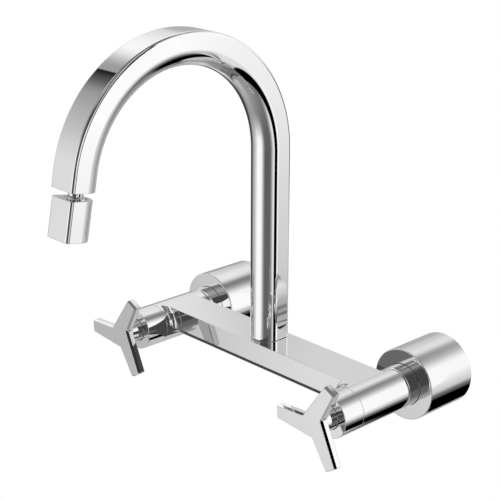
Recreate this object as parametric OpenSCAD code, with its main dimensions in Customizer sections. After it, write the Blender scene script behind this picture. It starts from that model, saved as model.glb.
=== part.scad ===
// Wall-mounted two-handle bridge mixer for a kitchen sink, with a swivel gooseneck spout
// and a ball-jointed aerator. The wall is the plane y = 0, the mixer stands out towards -Y,
// and the origin lies midway between the two inlets.

/* [Wall inlets] */
// Distance between the two inlet centres
inlet_spacing = 200; // [150:1:250]
// Outside diameter of the inlet pipe thread
stub_d = 20.96; // [17:0.01:24]
// Length of the inlet thread inside the wall
stub_l = 13; // [10:0.5:25]
// Water bore of the wall connector
stub_bore_d = 13; // [9:0.5:14]
// Distance of the connector's hexagon from the wall
hex_setback = 3; // [1:0.5:5]
// Connector hexagon, across flats
connector_hex = 27; // [25:0.5:30]
// Length of the connector hexagon
connector_hex_l = 8; // [5:0.5:10]
// Outside diameter of the union thread
union_thread_d = 26.4; // [24.5:0.1:26.8]
// Length of the union thread
union_thread_l = 13; // [10:0.5:14]
// Thickness of the inlet washer
washer_t = 2; // [1.5:0.5:3]
// Thickness of the tail's flange
flange_t = 3; // [2:0.5:3.5]
// Outside diameter of the tail's neck
tail_d = 19; // [17:0.5:20]
// Depth of the tail's thread in the barrel
tail_depth = 10; // [7:0.5:11]
// Water bore of the tail
tail_bore_d = 12; // [9:0.5:13]
// Thickness of the union nut's inner lip
lip_t = 4; // [3:0.5:5]
// Union nut hexagon, across flats
nut_hex = 32; // [31:0.5:36]

/* [Escutcheons] */
// Outside diameter of an escutcheon
escutcheon_d = 51; // [46:0.5:60]
// Length of an escutcheon from the wall
escutcheon_l = 43; // [41:0.5:60]
// Wall thickness of the escutcheon's sleeve
escutcheon_wall = 1.5; // [1:0.1:2.5]
// Thickness of the escutcheon's front
escutcheon_front_t = 3; // [2.5:0.1:4]
// Bevel round the escutcheon's front edge
escutcheon_bevel = 0.7; // [0.3:0.1:1.2]
// Diameter of the union nut's round collar
collar_d = 30; // [29:0.1:30.6]
// Length of the collar that shows
collar_l = 10.2; // [6:0.2:16]
// Wall of the collar's skirt
collar_wall = 2; // [1.2:0.1:3]
// Section diameter of the escutcheon's rubber ring
escutcheon_ring_d = 1.4; // [1:0.1:1.6]

/* [Valve barrels] */
// Outside diameter of a barrel and of its bonnet
barrel_d = 29.8; // [28.4:0.1:32]
// Length of a barrel
barrel_l = 46; // [45:0.5:60]
// Bevel round the barrel's rear edge
barrel_bevel = 1.2; // [0.5:0.1:1.5]
// Diameter of the cartridge cavity
cavity_d = 21; // [20:0.1:22]
// Distance of the valve seat behind the waterway
seat_margin = 3; // [1:0.1:4]
// Diameter of the port in the valve seat
port_d = 10; // [7:0.5:10.5]

/* [Bridge bar] */
// Height of the bar
bar_h = 19; // [18.4:0.1:23]
// Depth of the bar, front to back
bar_t = 30.6; // [28:0.1:34]
// Distance of the bar's back from the barrels' rear ends
bar_setback = 8.6; // [4:0.1:10]
// Drop of the bar's top below the top of the barrels
bar_drop = 0.1; // [0.05:0.05:1]
// Rounding of the bar's lower front edge
bar_edge_r = 3.7; // [1:0.1:5]
// Diameter of the cross waterway
waterway_d = 8; // [6:0.5:8.5]
// Floor left under the waterway
waterway_floor = 4.4; // [2:0.1:5]

/* [Cartridges] */
// Diameter of the ceramic discs
disc_d = 15.6; // [14:0.1:16]
// Thickness of a ceramic disc
disc_t = 3; // [2.5:0.1:3.4]
// Wall round the discs
cage_wall = 1.4; // [1:0.1:1.6]
// Thickness of the seat seal
seat_seal_t = 2.5; // [2:0.1:3]
// Length of the cage that holds the discs
cage_l = 17; // [16:0.5:19]
// Thickness of the cartridge flange
cartridge_flange_t = 4.5; // [3:0.1:5]
// Cartridge hexagon, across flats
cartridge_hex = 17; // [14:0.5:19]
// Length of the cartridge hexagon
cartridge_hex_l = 4; // [3:0.1:4.5]
// Diameter of the spindle
spindle_d = 8; // [6.6:0.1:9]
// Width of the bar that turns the moving disc
drive_w = 5; // [4:0.1:6]
// Height of the bar that turns the moving disc
drive_t = 3.5; // [3:0.1:4]
// Depth of the slot in the moving disc
drive_slot = 1; // [0.6:0.1:1.4]
// Thickness of the spindle's retaining clip
clip_t = 0.8; // [0.6:0.1:1]
// Section diameter of the cartridge's and spindle's rubber rings
valve_ring_d = 1.6; // [1.2:0.1:1.8]

/* [Bonnets and handles] */
// Length of a bonnet ring
bonnet_l = 17.8; // [16.5:0.1:24]
// Wall of the bonnet's skirt
bonnet_wall = 2.4; // [1.6:0.1:2.8]
// Thickness of the bonnet's front
bonnet_front_t = 3; // [2:0.1:4]
// Bevel round the bonnet's front edge
bonnet_bevel = 0.4; // [0.2:0.1:0.8]
// Diameter of the handle's hub
hub_d = 16.6; // [13.6:0.1:18]
// Length of hub that shows between bonnet and arms
hub_l = 10.2; // [6:0.1:16]
// Thickness of the handle's arms
arm_t = 6.3; // [4:0.1:9]
// Width of an arm at its tip
arm_w = 9.6; // [6:0.1:14]
// Radius of the arm tips
handle_r = 32.4; // [25:0.1:40]
// Radius of the notches between the arms
notch_r = 9.5; // [9.1:0.1:12]
// Angle of the first arm at rest
handle_rest = 63.2; // [0:0.1:120]
// Diameter of the handle's grub screw
grub_d = 4; // [3:0.1:5]

/* [Spout] */
// Width of the spout
spout_w = 22.8; // [21:0.1:26]
// Depth of the spout, from its flat back to its round front
spout_t = 23; // [21:0.1:28]
// Rounding of the spout's two flat-side corners
spout_corner = 2.2; // [0.6:0.1:2.5]
// Wall thickness of the spout
spout_wall = 1.6; // [1:0.1:1.9]
// Straight height of the spout above the bar
riser_h = 139.8; // [80:0.1:220]
// Radius of the arch on the spout's axis
arch_r = 80.5; // [60:0.1:120]
// Angle that the arch turns through
arch_sweep = 169; // [150:0.5:180]
// Length of the straight end piece after the arch
outlet_l = 11.5; // [11.5:0.1:30]
// Length of the end piece's tongue inside the tube
tongue_l = 3; // [2:0.1:4]
// Distance of the spout's axis in front of the bar's middle
riser_offset = 0.8; // [0:0.1:2]
// Diameter of the spout's spigot
spigot_d = 17.8; // [17:0.1:18]
// Water bore of the spigot
spigot_bore_d = 12; // [9:0.5:12.5]
// Length of the spigot's plug inside the spout
plug_l = 12; // [6:0.5:25]
// Floor left under the spigot's socket
socket_floor = 3.8; // [1.8:0.1:4.3]
// Radial width of the bearing washer under the spout
bearing_w = 1.5; // [1:0.1:2]
// Depth of the bearing washer's seat in the bar
bearing_seat = 1; // [0.6:0.1:1.2]
// Diameter of the screw that keeps the spout in its socket
lock_screw_d = 4; // [3:0.1:4.4]
// Diameter of the lock screw's tip
lock_tip_d = 1.8; // [1.2:0.1:2]
// Section diameter of the spigot's rubber ring
spigot_ring_d = 1.6; // [1.2:0.1:1.8]

/* [Nozzle] */
// Gap between the spout's end and the nozzle
nozzle_gap = 5.1; // [4.6:0.1:9]
// Length of the nozzle
nozzle_l = 26; // [24.5:0.1:36]
// Width of the nozzle
nozzle_w = 21.2; // [20.6:0.1:26]
// Depth of the nozzle, from its flat back to its round front
nozzle_t = 21.4; // [20.8:0.1:28]
// Diameter of the ball stem's neck
stem_d = 9.4; // [8:0.1:10]
// Diameter of the ball
ball_d = 15.6; // [15:0.1:16.2]
// Water bore of the ball stem
stem_bore_d = 5.6; // [4:0.1:6]
// Length of the stem's thread in the spout's end
stem_thread_l = 8; // [5:0.5:9]
// Thickness of the ball's seat shells
shell_t = 0.65; // [0.5:0.05:0.75]
// Diameter of the opening round the stem
nozzle_mouth_d = 14.6; // [14:0.1:15]
// Diameter of the nozzle's inner bore
nozzle_bore_d = 18.6; // [18.2:0.1:18.8]
// Length of the ring that presses the ball's lower seat
retainer_l = 8; // [7:0.1:8.6]
// Thickness of the aerator's washer
aerator_washer_t = 1.8; // [1:0.1:2]
// Thickness of the aerator's screen
screen_t = 0.8; // [0.6:0.1:1]
// Length of the ring that holds the aerator
aerator_ring_l = 2.4; // [1.6:0.1:3]
// Opening of the ring that holds the aerator
aerator_mouth_d = 15; // [12:0.1:16]

/* [Fits] */
// Radial clearance of a running fit
run_fit = 0.05; // [0.02:0.01:0.1]
// Radial clearance of a thread or a plugged joint
thread_fit = 0.08; // [0.03:0.01:0.1]
// Gap between a turning piece and a still one beside it
turn_gap = 0.3; // [0.2:0.05:0.5]
// Gap of a brazed joint
braze_gap = 0.12; // [0.1:0.01:0.15]

/* [Hidden] */
$fn = 96;
// Overshoot of every cut past the face that it opens
over = 1;

// Distances from the wall along a valve's axis
s_hex = hex_setback;
s_union = s_hex + connector_hex_l;
s_washer = s_union + union_thread_l;
s_flange = s_washer + washer_t;
s_lip = s_flange + flange_t;
s_skirt = s_lip + lip_t;
s_barrel = escutcheon_l + collar_l;
s_seam = s_barrel + barrel_l;
s_bonnet = s_seam + bonnet_l;
s_arms = s_bonnet + hub_l;

// The union: the tail's flange passes inside the nut's thread
flange_play = 1;
flange_d = union_thread_d - 2 * flange_play;
skirt_bore_d = collar_d - 2 * collar_wall;
escutcheon_ring_mid_d = collar_d + 2 * run_fit + escutcheon_ring_d;
s_escutcheon_ring = escutcheon_l - escutcheon_front_t / 2;

// The bar and its bores
bar_top = barrel_d / 2 - bar_drop;
bar_bottom = bar_top - bar_h;
bar_back = -s_barrel - bar_setback;
bar_front = bar_back - bar_t;
bar_mid = (bar_back + bar_front) / 2;
waterway_z = bar_bottom + waterway_floor + waterway_d / 2;

// The cartridge, from the valve seat outwards
s_floor = -bar_mid - waterway_d / 2 - seat_margin;
cage_d = disc_d + 2 * run_fit + 2 * cage_wall;
bonnet_bore_d = barrel_d - 2 * bonnet_wall;
cartridge_flange_d = bonnet_bore_d - 2 * thread_fit;
s_fixed = s_floor + seat_seal_t;
s_moving = s_fixed + disc_t + run_fit;
s_drive = s_moving + disc_t - drive_slot;
s_spindle = s_drive + drive_t;
s_thread = s_floor + cage_l;
s_hexagon = s_seam + cartridge_flange_t;
s_neck = s_hexagon + cartridge_hex_l;
neck_l = 2;
neck_wall = 2.5;
neck_d = spindle_d + 2 * neck_wall;
shoulder_t = 1.5;
shoulder_w = 2;
window_w = 8;
window_l = s_thread - s_spindle + drive_t / 2;
ring_inset = 4;
s_spindle_ring = s_thread + ring_inset;
spindle_ring_mid_d = spindle_d - valve_ring_d;
cartridge_ring_mid_d = cavity_d - 2 * run_fit - valve_ring_d;
s_cartridge_ring = s_seam - valve_ring_d;
port_rim = 1.5;
port_angle = 40;

// The spindle's clip, and how the handle sits on the spindle
s_clip = s_neck + neck_l + run_fit;
clip_groove = 0.6;
clip_w = 1.7;
clip_mouth = 4;
hub_reach = 0.5;
hub_back = s_bonnet - bonnet_front_t - hub_reach;
socket_web = 1;
spindle_end = s_arms - socket_web;
s_grub = s_bonnet + hub_l / 2;

// The spout's axis, the arch's centre and the outlet
riser_y = bar_mid - riser_offset;
riser_foot = bar_top + turn_gap;
arch_z = bar_top + riser_h;
arch_y = riser_y - arch_r;
outlet_y = arch_y + arch_r * cos(arch_sweep) - outlet_l * sin(arch_sweep);
outlet_z = arch_z + arch_r * sin(arch_sweep) + outlet_l * cos(arch_sweep);
bore_w = spout_w - 2 * spout_wall;
bore_t = spout_t - 2 * spout_wall;
bore_corner = spout_corner / 2;
end_web = 2;

// The spigot's socket, its ports, its groove and its ring
socket_d = spigot_d + 2 * run_fit;
socket_z = bar_bottom + socket_floor;
spigot_z = socket_z + turn_gap;
port_top = waterway_z + waterway_d / 2;
port_w = 8;
port_relief = 1;
leg_d = spigot_d - 2 * port_relief;
spigot_land = 0.4;
groove_w = lock_tip_d + 2 * turn_gap;
groove_z = port_top + spigot_land;
groove_depth = 1.2;
groove_d = spigot_d - 2 * groove_depth;
lock_z = groove_z + groove_w / 2;
spigot_ring_mid_d = spigot_d - spigot_ring_d;
spigot_ring_z = bar_top - bearing_seat - spigot_land - spigot_ring_d / 2;
bearing_d = socket_d + 2 * bearing_w;

// The nozzle, in distances from the spout's end along the stem
ball_r = ball_d / 2;
shell_in = ball_r + run_fit;
shell_out = shell_in + shell_t;
seat_r = shell_out + run_fit;
thread_depth = 0.6;
stem_thread_d = stem_d + 2 * thread_depth;
mouth_latitude = acos(nozzle_mouth_d / 2 / seat_r);
d_ball = nozzle_gap + seat_r * sin(mouth_latitude);
d_end = nozzle_gap + nozzle_l;
ball_cut_latitude = 46;
upper_shell = [8, mouth_latitude - 2];
lower_shell = [12, 44];
retainer_drop = 1.6;
d_retainer = d_ball + retainer_drop;
d_washer = d_retainer + retainer_l;
d_screen = d_washer + aerator_washer_t;
d_insert = d_screen + screen_t;
d_ring = d_end - aerator_ring_l;
nozzle_fill_d = nozzle_bore_d - 2 * thread_fit;
retainer_mouth_d = 11;
screen_pitch = 2.4;
screen_hole_d = 1.5;
insert_wall = 1.2;
insert_web = 2;
jet_count = 8;
jet_d = 2.2;

LEFT = -1;
RIGHT = 1;
chrome = "silver";
brass = "darkgoldenrod";
rubber = "dimgray";
ceramic = "ivory";
plastic = "whitesmoke";
steel = "lightsteelblue";

// A round bar along Z between two distances
module bar_round(d, from, to) {
    translate([0, 0, from]) cylinder(d = d, h = to - from);
}

// A hexagonal bar along Z, by its width across flats
module bar_hex(flats, from, to) {
    translate([0, 0, from]) cylinder(d = flats / cos(30), h = to - from, $fn = 6);
}

// A flat ring along Z between two distances
module ring(d_out, d_in, from, to) {
    difference() {
        bar_round(d_out, from, to);
        bar_round(d_in, from - over, to + over);
    }
}

// A rubber ring of round section
module o_ring(d_mid, section, at) {
    translate([0, 0, at]) rotate_extrude() translate([d_mid / 2, 0]) circle(d = section);
}

// A square groove for a rubber ring, cut into a bar from outside
module ring_groove(d_mid, section, at) {
    ring(d_mid + section + over, d_mid - section, at - section / 2, at + section / 2);
}

// A shell between two spheres, kept between two latitudes
module ball_shell(r_in, r_out, low, high) {
    reach = 2 * r_out;
    rotate_extrude() intersection() {
        difference() {
            circle(r = r_out);
            circle(r = r_in);
        }
        polygon([[0, 0], [reach * cos(low), reach * sin(low)], [reach * cos(high), reach * sin(high)]]);
    }
}

// The spout's section: a round front, flat sides and a flat back with two rounded corners
module spout_section(w, t, corner) {
    flat_y = t - w / 2;
    circle(d = w);
    translate([-w / 2, 0]) square([w, flat_y - corner]);
    translate([corner - w / 2, 0]) square([w - 2 * corner, flat_y]);
    for (x = [corner - w / 2, w / 2 - corner]) translate([x, flat_y - corner]) circle(r = corner);
}

// The hollow section of the spout's tube
module tube_section() {
    difference() {
        spout_section(spout_w, spout_t, spout_corner);
        spout_section(bore_w, bore_t, bore_corner);
    }
}

// A plug that fits the spout's bore, with a gap all round
module bore_plug(from, to, gap) {
    translate([0, 0, from]) linear_extrude(height = to - from)
        spout_section(bore_w - 2 * gap, bore_t - 2 * gap, bore_corner);
}

// Places a piece on a valve's axis: Z runs out from the wall, Y is up
module at_valve(side) {
    translate([side * inlet_spacing / 2, 0, 0]) rotate([90, 0, 0]) children();
}

// Places a piece on the spout's swivel axis
module at_riser() {
    translate([0, riser_y, 0]) children();
}

// Places a piece on the stem's axis: Z runs out of the spout's end, Y to its flat side
module at_outlet() {
    translate([0, outlet_y, outlet_z]) rotate([arch_sweep, 0, 0]) children();
}

// The bridge: a bar between two barrels

module barrel_outside() {
    r = barrel_d / 2;
    rotate_extrude() polygon([
        [0, s_barrel], [r - barrel_bevel, s_barrel], [r, s_barrel + barrel_bevel], [r, s_seam], [0, s_seam]
    ]);
}

module barrel_bores() {
    bar_round(tail_d + 2 * thread_fit, s_barrel - over, s_barrel + tail_depth);
    bar_round(port_d, s_barrel, s_floor + over);
    bar_round(cavity_d, s_floor, s_seam + over);
}

// The bar's section: sharp edges but for the rounded lower front one
module bar_section() {
    edge = [bar_front + bar_edge_r, bar_bottom + bar_edge_r];
    translate(edge) circle(r = bar_edge_r);
    translate([bar_front, edge[1]]) square([bar_t, bar_h - bar_edge_r]);
    translate([edge[0], bar_bottom]) square([bar_t - bar_edge_r, bar_h]);
}

module bar_outside() {
    translate([-inlet_spacing / 2, 0, 0]) rotate([90, 0, 90]) linear_extrude(height = inlet_spacing)
        bar_section();
}

module waterway() {
    reach = inlet_spacing - cavity_d / 2;
    translate([-reach / 2, bar_mid, waterway_z]) rotate([0, 90, 0]) cylinder(d = waterway_d, h = reach);
}

module spigot_socket() {
    bar_round(socket_d, socket_z, bar_top + over);
    bar_round(bearing_d + 2 * run_fit, bar_top - bearing_seat, bar_top + over);
    translate([0, 0, lock_z]) rotate([-90, 0, 0])
        cylinder(d = lock_screw_d + 2 * thread_fit, h = bar_back - riser_y + over);
}

module bridge_body() {
    color(chrome) difference() {
        union() {
            bar_outside();
            for (side = [LEFT, RIGHT]) at_valve(side) barrel_outside();
        }
        for (side = [LEFT, RIGHT]) at_valve(side) barrel_bores();
        waterway();
        at_riser() spigot_socket();
    }
}

// The spout and its bearing

module spout_tube() {
    color(chrome) {
        translate([0, riser_y, riser_foot]) linear_extrude(height = arch_z - riser_foot) tube_section();
        translate([0, arch_y, arch_z]) rotate([90, 0, 90]) rotate_extrude(angle = arch_sweep)
            translate([arch_r, 0]) rotate(-90) tube_section();
    }
}

module spout_spigot() {
    color(brass) at_riser() difference() {
        union() {
            bar_round(leg_d, spigot_z, port_top);
            bar_round(spigot_d, port_top, riser_foot);
            bore_plug(riser_foot, riser_foot + plug_l, thread_fit);
        }
        bar_round(spigot_bore_d, spigot_z - over, riser_foot + plug_l + over);
        for (turn = [0, 90]) rotate(turn) translate([-spigot_d, -port_w / 2, spigot_z - over])
            cube([2 * spigot_d, port_w, port_top - spigot_z + over]);
        ring(spigot_d + over, groove_d, groove_z, groove_z + groove_w);
        ring_groove(spigot_ring_mid_d, spigot_ring_d, spigot_ring_z);
    }
}

module spout_bearing() {
    color(plastic) at_riser()
        ring(bearing_d, spigot_d + 2 * run_fit, bar_top - bearing_seat, riser_foot);
}

module spigot_o_ring() {
    color(rubber) at_riser() o_ring(spigot_ring_mid_d, spigot_ring_d - 2 * run_fit, spigot_ring_z);
}

module spout_lock_screw() {
    tip = groove_d / 2 + turn_gap;
    shank = socket_d / 2 + turn_gap;
    head = bar_back - riser_y - turn_gap;
    key_d = lock_screw_d / 2;
    color(steel) at_riser() translate([0, 0, lock_z]) rotate([-90, 0, 0]) difference() {
        union() {
            bar_round(lock_tip_d, tip, head);
            bar_round(lock_screw_d, shank, head);
        }
        bar_hex(key_d, head - key_d / 2, head + over);
    }
}

// The outlet and its ball joint

module spout_end() {
    back = -outlet_l - tongue_l;
    color(chrome) at_outlet() difference() {
        union() {
            translate([0, 0, -outlet_l]) linear_extrude(height = outlet_l)
                spout_section(spout_w, spout_t, spout_corner);
            bore_plug(back, -outlet_l, braze_gap);
        }
        bar_round(spigot_bore_d, back - over, -stem_thread_l - end_web);
        bar_round(stem_bore_d, back - over, 0);
        bar_round(stem_thread_d, -stem_thread_l, over);
    }
}

module ball_stem() {
    color(chrome) at_outlet() difference() {
        union() {
            bar_round(stem_thread_d - 2 * thread_fit, -stem_thread_l, 0);
            bar_round(stem_d, 0, d_ball);
            intersection() {
                translate([0, 0, d_ball]) sphere(r = ball_r);
                bar_round(ball_d + over, d_ball - ball_r - over, d_ball + ball_r * sin(ball_cut_latitude));
            }
        }
        bar_round(stem_bore_d, -stem_thread_l - over, d_ball + ball_r + over);
    }
}

module lower_ball_seat() {
    color(plastic) at_outlet() translate([0, 0, d_ball])
        ball_shell(shell_in, shell_out, lower_shell[0], lower_shell[1]);
}

module upper_ball_seat() {
    color(plastic) at_outlet() translate([0, 0, d_ball])
        ball_shell(shell_in, shell_out, -upper_shell[1], -upper_shell[0]);
}

module nozzle_housing() {
    color(chrome) at_outlet() difference() {
        translate([0, 0, nozzle_gap]) linear_extrude(height = nozzle_l)
            spout_section(nozzle_w, nozzle_t, spout_corner);
        translate([0, 0, d_ball]) sphere(r = seat_r);
        bar_round(nozzle_bore_d, d_ball, d_end + over);
    }
}

module ball_retainer() {
    color(brass) at_outlet() difference() {
        bar_round(nozzle_fill_d, d_retainer, d_washer);
        translate([0, 0, d_ball]) sphere(r = seat_r);
        bar_round(retainer_mouth_d, d_retainer, d_washer + over);
    }
}

module aerator_washer() {
    color(rubber) at_outlet() ring(nozzle_fill_d, retainer_mouth_d, d_washer, d_screen);
}

module aerator_screen() {
    reach = retainer_mouth_d / 2 - screen_hole_d;
    steps = floor(reach / screen_pitch);
    color(steel) at_outlet() difference() {
        bar_round(nozzle_fill_d, d_screen, d_insert);
        for (i = [-steps:steps], j = [-steps:steps])
            translate([i * screen_pitch, j * screen_pitch, 0])
                bar_round(screen_hole_d, d_screen - over, d_insert + over);
    }
}

module aerator_insert() {
    floor_end = d_insert + insert_web;
    color(plastic) at_outlet() difference() {
        bar_round(nozzle_fill_d, d_insert, d_ring);
        bar_round(nozzle_fill_d - 2 * insert_wall, floor_end, d_ring + over);
        for (turn = [0 : jet_count - 1]) rotate(turn * 360 / jet_count)
            translate([retainer_mouth_d / 2 - jet_d, 0, 0])
                bar_round(jet_d, d_insert - over, floor_end + over);
    }
}

module aerator_ring() {
    color(chrome) at_outlet() ring(nozzle_fill_d, aerator_mouth_d, d_ring, d_end);
}

// The inlets

module wall_connector(side) {
    color(brass) at_valve(side) difference() {
        union() {
            bar_round(stub_d, -stub_l, s_hex);
            bar_hex(connector_hex, s_hex, s_union);
            bar_round(union_thread_d, s_union, s_washer);
        }
        bar_round(stub_bore_d, -stub_l - over, s_washer + over);
    }
}

module inlet_washer(side) {
    color(rubber) at_valve(side) ring(flange_d, stub_bore_d, s_washer, s_flange);
}

module inlet_tail(side) {
    color(brass) at_valve(side) difference() {
        union() {
            bar_round(flange_d, s_flange, s_lip);
            bar_round(tail_d, s_lip, s_barrel + tail_depth);
        }
        bar_round(tail_bore_d, s_flange - over, s_barrel + tail_depth + over);
    }
}

module union_nut(side) {
    nut_front = escutcheon_l - escutcheon_front_t - turn_gap;
    color(chrome) at_valve(side) difference() {
        union() {
            bar_hex(nut_hex, s_union + turn_gap, nut_front);
            bar_round(collar_d, nut_front, s_barrel);
        }
        bar_round(union_thread_d + 2 * thread_fit, s_union, s_lip);
        bar_round(tail_d + 2 * thread_fit, s_lip - over, s_barrel + over);
        bar_round(skirt_bore_d, s_skirt, s_barrel + over);
    }
}

module escutcheon(side) {
    r = escutcheon_d / 2;
    hole_d = collar_d + 2 * turn_gap;
    color(chrome) at_valve(side) difference() {
        rotate_extrude() polygon([
            [0, 0], [r, 0], [r, escutcheon_l - escutcheon_bevel], [r - escutcheon_bevel, escutcheon_l],
            [0, escutcheon_l]
        ]);
        bar_round(escutcheon_d - 2 * escutcheon_wall, -over, escutcheon_l - escutcheon_front_t);
        bar_round(hole_d, 0, escutcheon_l + over);
        o_ring(escutcheon_ring_mid_d, escutcheon_ring_d + 2 * run_fit, s_escutcheon_ring);
    }
}

module escutcheon_ring(side) {
    color(rubber) at_valve(side) o_ring(escutcheon_ring_mid_d, escutcheon_ring_d, s_escutcheon_ring);
}

// The valves

module seat_seal(side) {
    color(rubber) at_valve(side) ring(disc_d, port_d, s_floor, s_fixed);
}

// Two opposite quarters cut out of a disc, so that a quarter turn opens or shuts it
module disc_ports(from, to) {
    reach = disc_d * tan(port_angle);
    translate([0, 0, from]) linear_extrude(height = to - from) for (turn = [0, 180]) rotate(turn)
        intersection() {
            difference() {
                circle(d = disc_d - 2 * port_rim);
                circle(d = 2 * port_rim);
            }
            polygon([[0, 0], [disc_d, -reach], [disc_d, reach]]);
        }
}

module fixed_disc(side) {
    color(ceramic) at_valve(side) difference() {
        bar_round(disc_d, s_fixed, s_fixed + disc_t);
        disc_ports(s_fixed - over, s_fixed + disc_t + over);
    }
}

module moving_disc(side) {
    slot_w = drive_w + 2 * run_fit;
    color("lightgray") at_valve(side) difference() {
        bar_round(disc_d, s_moving, s_moving + disc_t);
        rotate(90) disc_ports(s_moving - over, s_moving + disc_t + over);
        translate([-disc_d, -slot_w / 2, s_drive - run_fit]) cube([2 * disc_d, slot_w, disc_t]);
    }
}

module cartridge(side) {
    neck_end = s_neck + neck_l;
    color(brass) at_valve(side) difference() {
        union() {
            bar_round(cage_d, s_floor + seat_seal_t / 2, s_thread);
            bar_round(cavity_d - 2 * thread_fit, s_thread, s_seam);
            bar_round(cartridge_flange_d, s_seam, s_hexagon);
            bar_hex(cartridge_hex, s_hexagon, s_neck);
            bar_round(neck_d, s_neck, neck_end);
        }
        bar_round(disc_d + 2 * run_fit, s_floor, s_thread);
        bar_round(spindle_d + 2 * run_fit, s_floor, neck_end + over);
        translate([-cavity_d, -window_w / 2, s_thread - window_l]) cube([2 * cavity_d, window_w, window_l]);
        o_ring(cartridge_ring_mid_d, valve_ring_d + 2 * run_fit, s_cartridge_ring);
    }
}

module cartridge_o_ring(side) {
    color(rubber) at_valve(side) o_ring(cartridge_ring_mid_d, valve_ring_d, s_cartridge_ring);
}

module spindle(side) {
    color(brass) at_valve(side) difference() {
        union() {
            intersection() {
                bar_round(disc_d - 2 * run_fit, s_drive, s_spindle);
                translate([-disc_d, -drive_w / 2, s_drive]) cube([2 * disc_d, drive_w, drive_t]);
            }
            bar_round(spindle_d, s_spindle, spindle_end);
            bar_round(spindle_d + 2 * shoulder_w, s_thread - run_fit - shoulder_t, s_thread - run_fit);
        }
        ring_groove(spindle_ring_mid_d, valve_ring_d, s_spindle_ring);
        ring(spindle_d + over, spindle_d - 2 * clip_groove, s_clip, s_clip + clip_t + run_fit);
    }
}

module spindle_o_ring(side) {
    color(rubber) at_valve(side) o_ring(spindle_ring_mid_d, valve_ring_d - 2 * run_fit, s_spindle_ring);
}

module spindle_clip(side) {
    clip_in = spindle_d - 2 * clip_groove + 2 * run_fit;
    color(steel) at_valve(side) difference() {
        ring(clip_in + 2 * clip_w, clip_in, s_clip, s_clip + clip_t);
        translate([0, -clip_mouth / 2, s_clip - over]) cube([spindle_d, clip_mouth, clip_t + 2 * over]);
    }
}

module bonnet(side) {
    r = barrel_d / 2;
    color(chrome) at_valve(side) difference() {
        rotate_extrude() polygon([
            [0, s_seam], [r, s_seam], [r, s_bonnet - bonnet_bevel], [r - bonnet_bevel, s_bonnet],
            [0, s_bonnet]
        ]);
        bar_round(bonnet_bore_d, s_seam - over, s_bonnet - bonnet_front_t);
        bar_round(hub_d + 2 * turn_gap, s_seam, s_bonnet + over);
    }
}

// A point turned about the origin
function turned(p, angle) = [p[0] * cos(angle) - p[1] * sin(angle), p[0] * sin(angle) + p[1] * cos(angle)];

// The handle's outline: each arm has one edge along its axis and one that slants in from the next notch
module handle_outline() {
    half = arm_w / 2;
    low_notch = -asin(half / notch_r);
    notch = notch_r * [cos(low_notch), sin(low_notch)];
    next_notch = turned(notch, 120);
    tip = [sqrt(handle_r * handle_r - half * half), half];
    past_tip = next_notch + 2 * (tip - next_notch);
    arm = [notch, [past_tip[0], -half], past_tip];
    rotate(handle_rest) intersection() {
        circle(r = handle_r);
        polygon([for (turn = [0, 120, 240], corner = arm) turned(corner, turn)]);
    }
}

module handle(side) {
    color(chrome) at_valve(side) difference() {
        union() {
            translate([0, 0, s_arms]) linear_extrude(height = arm_t) handle_outline();
            bar_round(hub_d, hub_back, s_arms);
        }
        bar_round(spindle_d + 2 * run_fit, hub_back - over, spindle_end + run_fit);
        translate([0, 0, s_grub]) rotate([90, 0, 0]) cylinder(d = grub_d + 2 * run_fit, h = hub_d);
    }
}

module grub_screw(side) {
    inner = spindle_d / 2 + run_fit;
    outer = hub_d / 2 - turn_gap;
    key_d = grub_d / 2;
    color(steel) at_valve(side) translate([0, 0, s_grub]) rotate([90, 0, 0]) difference() {
        bar_round(grub_d, inner, outer);
        bar_hex(key_d, outer - key_d, outer + over);
    }
}

bridge_body();
spout_tube();
spout_spigot();
spout_bearing();
spigot_o_ring();
spout_lock_screw();
spout_end();
ball_stem();
lower_ball_seat();
upper_ball_seat();
nozzle_housing();
ball_retainer();
aerator_washer();
aerator_screen();
aerator_insert();
aerator_ring();
wall_connector(LEFT);  // left_wall_connector
inlet_washer(LEFT);  // left_inlet_washer
inlet_tail(LEFT);  // left_inlet_tail
union_nut(LEFT);  // left_union_nut
escutcheon(LEFT);  // left_escutcheon
escutcheon_ring(LEFT);  // left_escutcheon_ring
seat_seal(LEFT);  // left_seat_seal
fixed_disc(LEFT);  // left_fixed_disc
moving_disc(LEFT);  // left_moving_disc
cartridge(LEFT);  // left_cartridge
cartridge_o_ring(LEFT);  // left_cartridge_o_ring
spindle(LEFT);  // left_spindle
spindle_o_ring(LEFT);  // left_spindle_o_ring
spindle_clip(LEFT);  // left_spindle_clip
bonnet(LEFT);  // left_bonnet
handle(LEFT);  // left_handle
grub_screw(LEFT);  // left_grub_screw
wall_connector(RIGHT);  // right_wall_connector
inlet_washer(RIGHT);  // right_inlet_washer
inlet_tail(RIGHT);  // right_inlet_tail
union_nut(RIGHT);  // right_union_nut
escutcheon(RIGHT);  // right_escutcheon
escutcheon_ring(RIGHT);  // right_escutcheon_ring
seat_seal(RIGHT);  // right_seat_seal
fixed_disc(RIGHT);  // right_fixed_disc
moving_disc(RIGHT);  // right_moving_disc
cartridge(RIGHT);  // right_cartridge
cartridge_o_ring(RIGHT);  // right_cartridge_o_ring
spindle(RIGHT);  // right_spindle
spindle_o_ring(RIGHT);  // right_spindle_o_ring
spindle_clip(RIGHT);  // right_spindle_clip
bonnet(RIGHT);  // right_bonnet
handle(RIGHT);  // right_handle
grub_screw(RIGHT);  // right_grub_screw
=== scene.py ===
"""Looks of a wall-mounted bridge mixer: plated shells with true edges, threads, finishes and light."""
import math

import bpy
from mathutils import Matrix, Vector


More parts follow.
